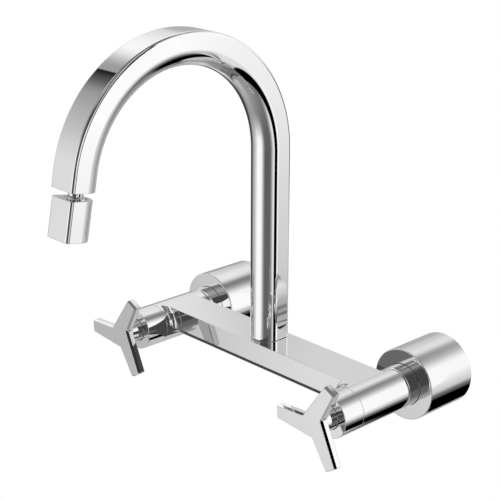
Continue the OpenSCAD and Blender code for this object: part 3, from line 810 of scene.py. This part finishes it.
def fillet(shell, side):
    """The hollow fillet in the corner between the bar's front and a barrel."""
    rings, normals = [], []
    for k in range(FILLET_ROWS + 1):
        height = BAR_BOTTOM + (BAR_TOP - BAR_BOTTOM) * k / FILLET_ROWS
        inside = min(max(height, BAR_BOTTOM + NUDGE), BAR_TOP - NUDGE)
        spots, outward = [], []
        for i in range(FILLET_STEPS + 1):
            turn = math.pi / 2 * i / FILLET_STEPS
            along = fillet_spot(side, inside + NUDGE, turn) - fillet_spot(side, inside - NUDGE, turn)
            across = fillet_spot(side, inside, turn + NUDGE) - fillet_spot(side, inside, turn - NUDGE)
            spots.append(fillet_spot(side, height, turn))
            outward.append(side * along.cross(across).normalized())
        root = Vector((spots[0].x + side * BAR_SINK, spots[-1].y + BAR_SINK, height))
        rings.append(shell.ring([*spots, root]))
        normals.append([*outward, Vector((side, 1, 0)).normalized()])
    joined(shell, list(zip(rings, normals)))
    shell.cap(rings[0], Vector((0, 0, -1)))
    shell.cap(rings[-1], Vector((0, 0, 1)))


def bridge_casting():
    """Bar and barrels, one casting."""
    shell = Shell()
    bridge_bar(shell)
    for side in (-1, 1):
        barrel(shell, side)
        fillet(shell, side)
    shell.piece("bridge_casting", "chrome", "mixer_body", "bridge_body")


# Valves

def sleeve_cover(side, name):
    """The long round cover over a wall connection, with its rubber ring's groove."""
    shell = Shell()
    hole = COLLAR_R + COLLAR_GAP
    inside = COVER_L - COVER_FRONT
    groove_mid = COVER_L - COVER_FRONT / 2
    groove = (groove_mid + RING_GROOVE_W / 2, groove_mid - RING_GROOVE_W / 2)
    deep = hole + RING_GROOVE_DEPTH
    turned(shell, valve_place(side), rounded_outline([
        (COVER_R, COVER_L, COVER_EDGE), (hole, COVER_L, SHARP_EDGE),
        (hole, groove[0], SHARP_EDGE), (deep, groove[0], SHARP_EDGE),
        (deep, groove[1], SHARP_EDGE), (hole, groove[1], SHARP_EDGE),
        (hole, inside, SHARP_EDGE), (COVER_R - COVER_WALL, inside, FINE_EDGE),
        (COVER_R - COVER_WALL, 0, FINE_EDGE), (COVER_R, 0, FINE_EDGE),
    ]), COVER_FACETS)
    shell.piece(f"{name}_sleeve_cover", "chrome", f"{name}_cover", f"{name}_escutcheon")


def bonnet_ring(side, name):
    """The ring that closes a barrel's front round the handle's hub."""
    shell = Shell()
    inside = BONNET_FRONT - BONNET_FRONT_T
    turned(shell, valve_place(side), rounded_outline([
        (BARREL_R, BONNET_FRONT, BONNET_EDGE), (BONNET_HOLE_R, BONNET_FRONT, FINE_EDGE),
        (BONNET_HOLE_R, inside, SHARP_EDGE), (BONNET_BORE_R, inside, SHARP_EDGE),
        (BONNET_BORE_R, BARREL_FRONT, SHARP_EDGE), (BARREL_R, BARREL_FRONT, SEAM_EDGE),
    ]), BARREL_FACETS)
    shell.piece(f"{name}_bonnet_ring", "chrome", "mixer_body", f"{name}_bonnet")


def arm_corners():
    """The corners of the handle's arms and of the notches between them."""
    half = ARM_W / 2
    low = -math.asin(half / NOTCH_R)
    notch = Vector((NOTCH_R * math.cos(low), NOTCH_R * math.sin(low)))
    tip_x = math.sqrt(ARM_REACH ** 2 - half ** 2)
    arm = [
        (notch, ARM_CORNER), (Vector((tip_x, -half)), ARM_CORNER),
        (Vector((ARM_REACH, 0)), ARM_REACH), (Vector((tip_x, half)), ARM_CORNER),
    ]
    corners = []
    for k in range(ARM_COUNT):
        turn = Matrix.Rotation(ARM_REST + 2 * math.pi * k / ARM_COUNT, 2)
        corners += [(*(turn @ point), radius) for point, radius in arm]
    return corners


def three_arm_handle(side, name):
    """The handle: a flat plate of three arms with a hub behind it."""
    shell = Shell()
    place = valve_place(side)
    edges = (edge_steps(ARM_BACK_EDGE), edge_steps(ARM_FRONT_EDGE, ARM_FACET, ARM_LEAN))
    slab(shell, place, arm_corners(), (ARM_BACK, ARM_FRONT), edges)
    sunk = ARM_BACK + FINE_EDGE
    turned(shell, place, rounded_outline([
        (HUB_R, sunk, SHARP_EDGE), (SPINDLE_HOLE_R, sunk, SHARP_EDGE),
        (SPINDLE_HOLE_R, HUB_BACK, FINE_EDGE), (HUB_R, HUB_BACK, FINE_EDGE),
    ]), HUB_FACETS)
    shell.piece(f"{name}_three_arm_handle", "chrome", f"{name}_valve", f"{name}_handle")


# Threaded and hexagonal pieces, made of rings whose radius follows the angle

def hex_radius(flats, angle):
    """Distance from the axis to a hexagon's outline, its corners turned down a little."""
    sector = math.pi / 3
    off_flat = (angle + sector / 2) % sector - sector / 2
    return min(flats / 2 / math.cos(off_flat), flats / math.sqrt(3) - HEX_CORNER)


def stacked_piece(name, slot, body, node, place, rows, count):
    """A closed piece of rings: each row is a distance along the axis and a radius, fixed or by angle."""
    mesh = bpy.data.meshes.new(name)
    points, faces = [], []
    for along, radius in rows:
        for i in range(count):
            angle = 2 * math.pi * i / count
            r = radius(angle) if callable(radius) else radius
            points.append(place @ Vector((r * math.cos(angle), r * math.sin(angle), along)))
    for row in range(len(rows)):
        after = (row + 1) % len(rows)
        for i in range(count):
            j = (i + 1) % count
            faces.append([row * count + i, row * count + j, after * count + j, after * count + i])
    mesh.from_pydata(points, [], faces)
    mesh.shade_smooth()
    mesh.set_sharp_from_angle(angle=SHARP_ANGLE)
    fit_piece(name, mesh, slot, body, node)


def hexagon_rows(flats, start, end, chamfer):
    """Rows of a hexagon whose ends are chamfered as a nut's are."""
    rows = []
    low_r = flats / 2 * CHAMFER_SHARE
    high_r = flats / math.sqrt(3)

    def cut(limit):
        return lambda angle: min(hex_radius(flats, angle), limit)

    for k in range(CHAMFER_STEPS + 1):
        share = k / CHAMFER_STEPS
        rows.append((start + chamfer * share, cut(low_r + (high_r - low_r) * share)))
    for k in range(CHAMFER_STEPS + 1):
        share = 1 - k / CHAMFER_STEPS
        rows.append((end - chamfer * share, cut(low_r + (high_r - low_r) * share)))
    return rows


def union_nut(side, name):
    """The nut that draws the inlet together, with the round collar that shows in front of the cover."""
    rows = hexagon_rows(NUT_FLATS, NUT_BACK, NUT_FRONT, NUT_CHAMFER)
    rows += [
        (NUT_FRONT, COLLAR_R), (BARREL_BACK, COLLAR_R), (BARREL_BACK, SKIRT_BORE_R),
        (LIP[1], SKIRT_BORE_R), (LIP[1], TAIL_HOLE_R), (LIP[0], TAIL_HOLE_R),
        (LIP[0], UNION_BORE_R), (NUT_BACK, UNION_BORE_R),
    ]
    stacked_piece(f"{name}_collar_nut", "chrome", "mixer_body", f"{name}_union_nut",
                  valve_place(side), rows, NUT_FACETS)


def thread_row(along, start, end):
    """Radius of a pipe thread by angle, fading out towards both of its ends."""
    fade = min(1, (along - start) / THREAD_PITCH, (end - along) / THREAD_PITCH)

    def radius(angle):
        phase = (along / THREAD_PITCH - angle / (2 * math.pi)) % 1
        flank = min(1, max(0, FLANK_SLOPE * abs(2 * phase - 1) - ROOT_SHARE))
        return STUB_R - THREAD_DEPTH * (1 - flank * max(0, fade))

    return radius


def threaded_connector(side, name):
    """The connector that screws into the wall: pipe thread, hexagon and union thread."""
    start, end = STUB_END, CONNECTOR_HEX[0]
    turns = round((end - start) / THREAD_PITCH * ROWS_PER_THREAD)
    rows = [(start, STUB_BORE_R), (start, STUB_R - THREAD_DEPTH)]
    for k in range(1, turns):
        along = start + (end - start) * k / turns
        rows.append((along, thread_row(along, start, end)))
    rows += [(end, STUB_R - THREAD_DEPTH)]
    rows += hexagon_rows(CONNECTOR_FLATS, *CONNECTOR_HEX, NUT_CHAMFER)
    rows += [
        (CONNECTOR_HEX[1], UNION_THREAD_R), (CONNECTOR_FRONT, UNION_THREAD_R),
        (CONNECTOR_FRONT, STUB_BORE_R),
    ]
    stacked_piece(f"{name}_threaded_connector", "brass", "mixer_body", f"{name}_wall_connector",
                  valve_place(side), rows, CONNECTOR_FACETS)


# Studio: soft boxes and dark flags by angle round the mixer and by height, in degrees.
# Front angles count from the front and rear angles from the back, both positive to the right.
# A level is a tone as a screen shows it, from 0 to 1.

def between(angle, start, full, ebb, end):
    """1 where an angle lies between full and ebb, fading out to start and to end."""
    return angle.step(start, full) * angle.step(end, ebb)


def front_lights(level, front, height):
    """The large key box left of the front and the flags beside it, one of them with two slits."""
    key_level = 0.30 + 0.42 * front.step(-98, -62) + 0.16 * front.step(-53, -43)
    key_level = key_level + 0.12 * front.step(-42, -30)
    key_level = key_level - 0.08 * between(front, -42, -40, -36, -33)
    key_middle = between(front, -115, -60, -42, -32) * height.step(-16, -5)
    key_level = key_level.over(0.93 - 0.05 * front.step(-64, -55), key_middle)
    key = between(front, -118, -92, -2, 34) * height.step(-58, -24) * (1 - 0.75 * height.step(0, 50))
    level = level.over(key_level, key)
    collar_flag = between(front, -54, -46, -16, -4) * between(height, 16, 28, 38, 50)
    level = level.over(0.47, collar_flag)
    flag_left = front + 26 * height.step(-10, 2)
    front_flag = flag_left.step(18, 32) * front.step(60, 54) * between(height, -20, -8, 40, 50)
    level = level.over(0.28, front_flag)
    flag_slit = between(front, 46, 48.5, 51.2, 52.4) * between(height, 9, 11, 16.5, 18)
    flag_slit = flag_slit + between(front, 21, 24, 27, 30) * between(height, 3, 5, 9, 11)
    return level.over(0.70, flag_slit)


def side_lights(level, front, height):
    """The boxes at the left and right, with a narrow flag and a lamp at the left one's edge."""
    left_flag = between(front, -88.2, -87.2, -86.7, -70) * height.step(22, 38)
    level = level.over(0.16 + 0.09 * front.step(-86.5, -83), left_flag)
    left_lamp = between(front, -84, -76, -60, -50) * between(height, 40, 46, 52, 58)
    level = level.over(0.88, left_lamp)
    left_box = between(front, -175, -150, -88.2, -87.2) * height.step(-30, 20)
    left_level = 0.62 + 0.38 * front.step(-92, -118) * (1 - 0.25 * front.step(-122, -138))
    level = level.over(left_level, left_box)
    right_edge = front.step(62, 93).over(front.step(72, 97), height.step(10, 20))
    right_edge = right_edge.over(front.step(55, 62), between(height, -14, -4, 14, 20))
    right_box = right_edge * front.step(122, 118) * height.step(-48, -24)
    return level.over(0.93, right_box)


def back_lights(level, rear, height):
    """The pale wall behind the mixer, shaded towards its foot, its top and its left, and a low flag."""
    back_wall = between(rear, -90, -60, 62, 66)
    low_wall = (0.95 + 0.0065 * height).over(1.14 + 0.015 * height, rear.step(43.8, 44.8)).lesser(1.0)
    low_wall = low_wall.over(1.02 - 0.14 * height.step(-12, -26), rear.step(47, 51))
    low_wall = low_wall - 0.22 * between(rear, -30, 0, 0, 45) * height.step(0, -22)
    foot_shade = 0.34 * height.step(-20, -31) + 0.33 * height.step(-32, -39)
    low_wall = low_wall - foot_shade * between(rear, 16, 28, 47, 51)
    high_wall = 1.01 - 0.98 * height.step(24, 70) + 0.24 * height.step(47, 54)
    left_glow = 0.12 * rear.step(-45, -51)
    left_glow = left_glow + 0.03 * between(rear, -46, -43.5, -40, -38) * height.step(29, 26)
    left_wall = 0.70 + 0.22 * height.step(4, 46) + left_glow * height.step(10, 18)
    left_side = (rear - 18 * height.step(44, 54)).step(2, -28)
    wall = low_wall.lesser(high_wall).over(left_wall, left_side)
    wall = wall - 0.40 * between(rear, -40, -25, 25, 42) * between(height, -19, -16, -4, 8)
    level = level.over(wall, back_wall)
    wall_slit = between(rear, 44.4, 44.9, 45.5, 45.9) * between(height, 22.2, 22.8, 24.2, 24.8)
    level = level.over(0.77, wall_slit)
    wall_strip = between(rear, 43.5, 45, 47.5, 49) * height.step(-12, -30)
    level = level.over(0.78, wall_strip)
    wall_foot = back_wall * height.step(-45, -49)
    level = level.over(0.75 - 0.2 * height.step(-55, -66), wall_foot)
    low_flag_top = height - 4 * rear.step(6, 20)
    low_flag = between(rear, -24, -12, 30, 40) * low_flag_top.step(-38, -42) * height.step(-49, -46)
    return level.over(0.0, low_flag)


def corner_lights(level, front, height):
    """A low lamp and flags in the corners between the sides and the back."""
    low_lamp = between(front, -145, -135, -118, -100) * between(height, -64, -58, -42, -34)
    level = level.over(0.85, low_lamp)
    side_flag = between(front, -134, -130, -100, -74) * between(height, -58, -30, -16, 0)
    side_flag = side_flag * (1 - front.step(-112, -122) * height.step(-36, -44))
    level = level.over(0.24, side_flag)
    flag_gap = between(front, -134.5, -133, -130, -128.5) * between(height, -27, -25.5, -20, -18)
    level = level.over(0.64, flag_gap)
    far_flag = between(front, -150, -142, -138, -133) * between(height, -36, -28, -18, -12)
    level = level.over(0.42, far_flag)
    right_flag = between(front, 95, 98, 117, 120) * between(height, -64, -56, 40, 50)
    level = level.over(0.01, right_flag)
    right_slit = between(front, 95.5, 97.5, 101, 103) * between(height, 16, 18.5, 24.5, 27)
    return level.over(0.20, right_slit)


def studio_light():
    """The room that the plating mirrors; the camera itself sees it as plain white."""
    world = bpy.data.worlds.new("studio")
    bpy.context.scene.world = world
    world.use_nodes = True
    board = Board(world.node_tree)
    way = board.add("ShaderNodeTexCoord", output="Generated")
    x = board.add("ShaderNodeSeparateXYZ", {}, {"Vector": way})
    y, z = x.of("Y"), x.of("Z")
    degrees = 180 / math.pi
    front = x.math("ARCTAN2", x, -y) * degrees
    rear = x.math("ARCTAN2", x, y) * degrees
    height = z.math("ARCSINE", z) * degrees

    room = 0.39 + 0.20 * height.step(-25, -80) + 0.30 * height.step(30, 80)
    level = room + 0.14 * front.step(30, -70) * height.step(-30, -55)
    level = front_lights(level, front, height)
    level = side_lights(level, front, height)
    level = back_lights(level, rear, height)
    level = corner_lights(level, front, height)
    ceiling = height.step(57, 66)
    level = level.over(0.46, ceiling)

    camera_ray = board.add("ShaderNodeLightPath", output="Is Camera Ray")
    shade = (level ** SCREEN_GAMMA).over(1.0, camera_ray)
    grey = board.add("ShaderNodeCombineColor", {}, {0: shade, 1: shade, 2: shade})
    board.feed(world.node_tree.nodes["Background"].inputs["Color"], grey)


def glow_sheet(name, points, faces, glow):
    """A sheet of the stage with a glow of its own and no other light."""
    mesh = bpy.data.meshes.new(name)
    mesh.from_pydata(points, [], faces)
    material = bpy.data.materials.new(name)
    material.use_nodes = True
    shader = material.node_tree.nodes["Principled BSDF"]
    shader.inputs["Base Color"].default_value = (0, 0, 0, 1)
    shader.inputs["Specular IOR Level"].default_value = 0
    shader.inputs["Emission Color"].default_value = (glow, glow, glow, 1)
    shader.inputs["Emission Strength"].default_value = 1
    mesh.materials.append(material)
    sheet = put_in_scene(name, mesh)
    sheet.visible_diffuse = False
    sheet.visible_transmission = False
    sheet.visible_shadow = False
    return sheet


def pale_floor():
    """A plain floor, evenly lit, that the plating doesn't mirror."""
    half = FLOOR_SIZE / 2
    outline = [(-half, -half), (half, -half), (half, half), (-half, half)]
    points = [(x, y, FLOOR_Z) for x, y in outline]
    floor = glow_sheet("pale_floor", points, [(0, 1, 2, 3)], FLOOR_GLOW)
    floor.visible_glossy = False


def painted_shade_card():
    """A dark card below the bar with a low front wall, a painted shade: the bar's edge mirrors it as a
    dark band, no camera sees it.
    """
    end = VALVE_X - BARREL_R
    front = BAR_FRONT - CARD_REACH
    sides = [(BAR_BACK, CARD_Z), (front, CARD_Z), (front, CARD_TOP)]
    points = [(x, y, z) for y, z in sides for x in (-end, end)]
    # The card's faint glow is painted shade, for the bar's lower edge to mirror
    card = glow_sheet("painted_shade_card", points, [(0, 1, 3, 2), (2, 3, 5, 4)], CARD_GLOW)
    card.visible_camera = False


def camera():
    """The photograph's view."""
    lens = bpy.data.cameras.new("camera")
    lens.sensor_width = SENSOR
    lens.lens = SENSOR * FOCAL_SHARE
    lens.clip_start = 0.01
    lens.clip_end = 100
    az, el = CAMERA_AZIMUTH, CAMERA_ELEVATION
    right = Vector((math.cos(az), math.sin(az), 0))
    back = Vector((math.sin(az) * math.cos(el), -math.cos(az) * math.cos(el), math.sin(el)))
    up = back.cross(right)
    c, s = math.cos(CAMERA_ROLL), math.sin(CAMERA_ROLL)
    turn = Matrix((c * right + s * up, c * up - s * right, back)).transposed()
    thing = put_in_scene("camera", lens)
    thing.matrix_world = Matrix.Translation(CAMERA_AT) @ turn.to_4x4()
    bpy.context.scene.camera = thing
    bpy.context.scene.view_settings.view_transform = "Standard"


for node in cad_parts.values():
    for slot in node.material_slots:
        slot.material = FINISHES[slot.material.name]

gooseneck()
spout_tip()
nozzle_shell()
bridge_casting()
for side, name in ((-1, "left"), (1, "right")):
    sleeve_cover(side, name)
    bonnet_ring(side, name)
    three_arm_handle(side, name)
    union_nut(side, name)
    threaded_connector(side, name)
studio_light()
pale_floor()
painted_shade_card()
camera()
